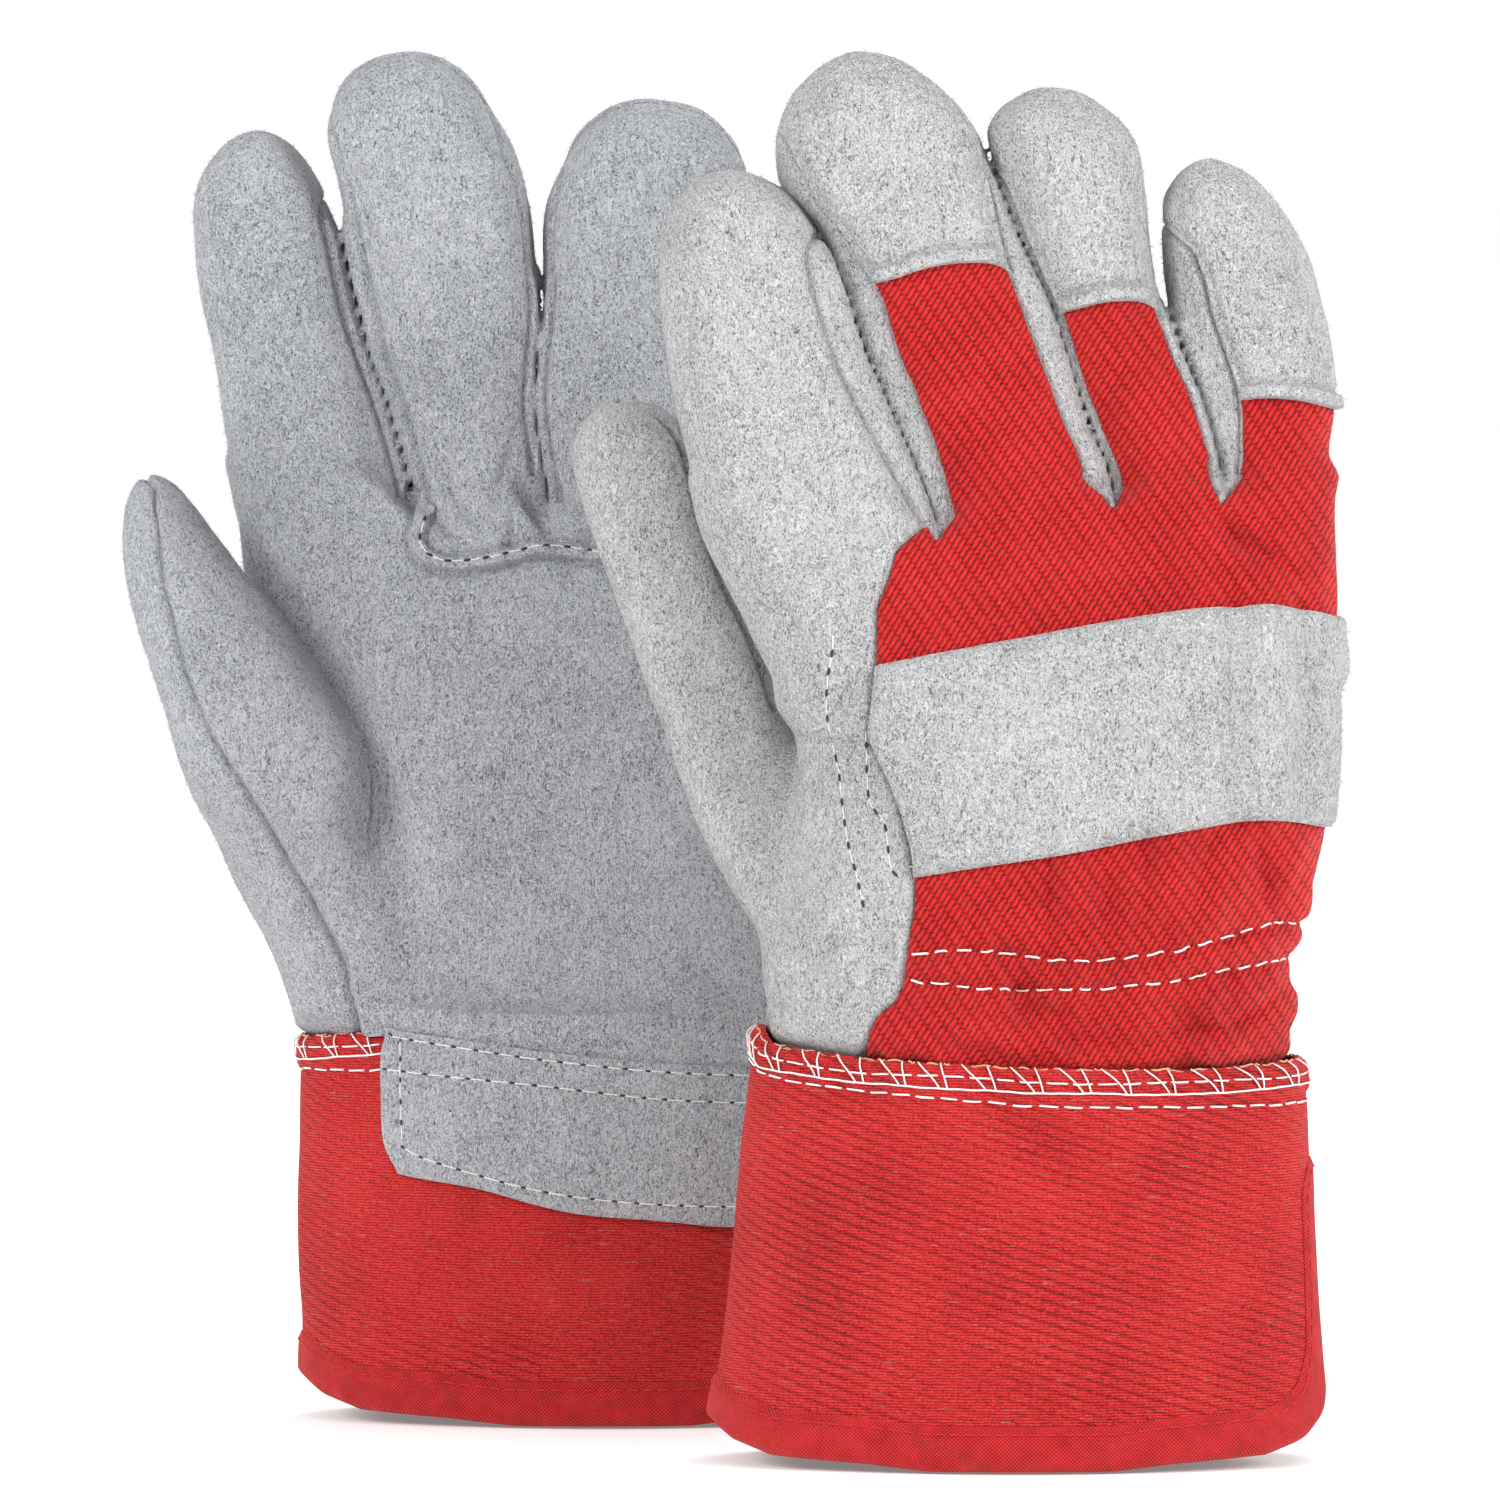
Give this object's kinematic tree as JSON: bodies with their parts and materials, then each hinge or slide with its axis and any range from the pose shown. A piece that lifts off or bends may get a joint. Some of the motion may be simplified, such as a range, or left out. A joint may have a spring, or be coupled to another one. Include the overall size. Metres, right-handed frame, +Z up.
{
  "type": "work gloves",
  "caption": "Pair of leather-palm work gloves with cotton backs, knuckle straps, gathered wrists and stiff safety cuffs, standing on the cuffs.",
  "frame": {"origin": "bottom centre of the pair's bounding box, on the plane that the cuff rims stand on", "axes": "+Z up along the fingers, +Y towards the left glove's back, +X towards the little fingers; right glove at -Y with its back facing -Y, left glove at +Y with its palm facing -Y"},
  "size_m": [0.2396, 0.1682, 0.2718],
  "materials": {
    "suede_light": "light grey split suede, soft raised nap",
    "suede_blue_grey": "mid blue-grey split suede, soft raised nap",
    "red_drill": "bright red cotton drill, diagonal twill",
    "lining_fabric": "off-white cotton lining",
    "elastic": "white woven elastic",
    "rubberised_canvas": "red rubberised canvas with a fine weft and pale slubs",
    "binding_tape": "dark red fine twill tape",
    "sewing_thread": "off-white sewing thread"
  },
  "bodies": {
    "right_hand": {"right_palm_leather": "suede_light", "right_back_fabric": "red_drill", "right_palm_lining": "lining_fabric", "right_wrist_elastic": "elastic", "right_knuckle_strap": "suede_light", "right_shirring_stitches": "sewing_thread", "right_cuff": "rubberised_canvas", "right_cuff_binding": "binding_tape", "right_palm_patch": "suede_light", "right_cuff_overlock": "sewing_thread", "right_cuff_topstitch": "sewing_thread", "right_thumb_gusset": "suede_light"},
    "right_thumb": {"right_thumb_front": "suede_light", "right_thumb_back": "suede_light"},
    "right_index": {"right_index_leather": "suede_light", "right_index_fourchette": "suede_light"},
    "right_middle": {"right_middle_front": "suede_light", "right_middle_fourchettes": "suede_light", "right_middle_back": "red_drill", "right_middle_cap": "suede_light"},
    "right_ring": {"right_ring_front": "suede_light", "right_ring_fourchettes": "suede_light", "right_ring_back": "red_drill", "right_ring_cap": "suede_light"},
    "right_little": {"right_little_front": "suede_light", "right_little_fourchette": "suede_light", "right_little_back": "red_drill", "right_little_cap": "suede_light"},
    "left_hand": {"left_palm_leather": "suede_blue_grey", "left_back_fabric": "red_drill", "left_palm_lining": "lining_fabric", "left_wrist_elastic": "elastic", "left_knuckle_strap": "suede_blue_grey", "left_shirring_stitches": "sewing_thread", "left_cuff": "rubberised_canvas", "left_cuff_binding": "binding_tape", "left_palm_patch": "suede_blue_grey", "left_cuff_overlock": "sewing_thread", "left_cuff_topstitch": "sewing_thread", "left_thumb_gusset": "suede_blue_grey"},
    "left_thumb": {"left_thumb_front": "suede_blue_grey", "left_thumb_back": "suede_blue_grey"},
    "left_index": {"left_index_leather": "suede_blue_grey", "left_index_fourchette": "suede_blue_grey"},
    "left_middle": {"left_middle_front": "suede_blue_grey", "left_middle_fourchettes": "suede_blue_grey", "left_middle_back": "red_drill", "left_middle_cap": "suede_blue_grey"},
    "left_ring": {"left_ring_front": "suede_blue_grey", "left_ring_fourchettes": "suede_blue_grey", "left_ring_back": "red_drill", "left_ring_cap": "suede_blue_grey"},
    "left_little": {"left_little_front": "suede_blue_grey", "left_little_fourchette": "suede_blue_grey", "left_little_back": "red_drill", "left_little_cap": "suede_blue_grey"}
  },
  "joints": [
    {"name": "right_thumb_flex", "type": "hinge", "parent": "right_hand", "child": "right_thumb", "pos_m": [-0.00109, -0.02669, 0.14721], "axis": [-0.9571, 0, -0.2898], "range_deg": [-8, 35], "stiffness_Nm_per_rad": 0.06},
    {"name": "right_index_flex", "type": "hinge", "parent": "right_hand", "child": "right_index", "pos_m": [0.01499, -0.04463, 0.19188], "axis": [-0.9708, 0, -0.2399], "range_deg": [-8, 55], "stiffness_Nm_per_rad": 0.06},
    {"name": "right_middle_flex", "type": "hinge", "parent": "right_hand", "child": "right_middle", "pos_m": [0.05319, -0.04144, 0.19167], "axis": [-0.9514, 0, -0.3079], "range_deg": [-8, 55], "stiffness_Nm_per_rad": 0.06},
    {"name": "right_ring_flex", "type": "hinge", "parent": "right_hand", "child": "right_ring", "pos_m": [0.0825, -0.03919, 0.19181], "axis": [-0.965, 0, -0.2624], "range_deg": [-8, 55], "stiffness_Nm_per_rad": 0.06},
    {"name": "right_little_flex", "type": "hinge", "parent": "right_hand", "child": "right_little", "pos_m": [0.10544, -0.03681, 0.19202], "axis": [-0.9833, 0, -0.1823], "range_deg": [-8, 55], "stiffness_Nm_per_rad": 0.06},
    {"name": "left_thumb_flex", "type": "hinge", "parent": "left_hand", "child": "left_thumb", "pos_m": [-0.09672, 0.02332, 0.14691], "axis": [0.9233, 0, 0.3841], "range_deg": [-8, 35], "stiffness_Nm_per_rad": 0.06},
    {"name": "left_index_flex", "type": "hinge", "parent": "left_hand", "child": "left_index", "pos_m": [-0.08198, 0.04463, 0.19206], "axis": [0.9876, 0, 0.1567], "range_deg": [-8, 55], "stiffness_Nm_per_rad": 0.06},
    {"name": "left_middle_flex", "type": "hinge", "parent": "left_hand", "child": "left_middle", "pos_m": [-0.05111, 0.04144, 0.19208], "axis": [0.9889, 0, 0.1485], "range_deg": [-8, 55], "stiffness_Nm_per_rad": 0.06},
    {"name": "left_ring_flex", "type": "hinge", "parent": "left_hand", "child": "left_ring", "pos_m": [-0.01896, 0.03919, 0.19218], "axis": [0.9984, 0, -0.0573], "range_deg": [-8, 55], "stiffness_Nm_per_rad": 0.06},
    {"name": "left_little_flex", "type": "hinge", "parent": "left_hand", "child": "left_little", "pos_m": [0.01299, 0.03681, 0.19196], "axis": [0.9779, 0, -0.2091], "range_deg": [-8, 55], "stiffness_Nm_per_rad": 0.06},
    {"name": "pair_slide", "type": "slide", "parent": "right_hand", "child": "left_hand", "axis": [0, 1, 0], "range_m": [0, 0.15]}
  ]
}
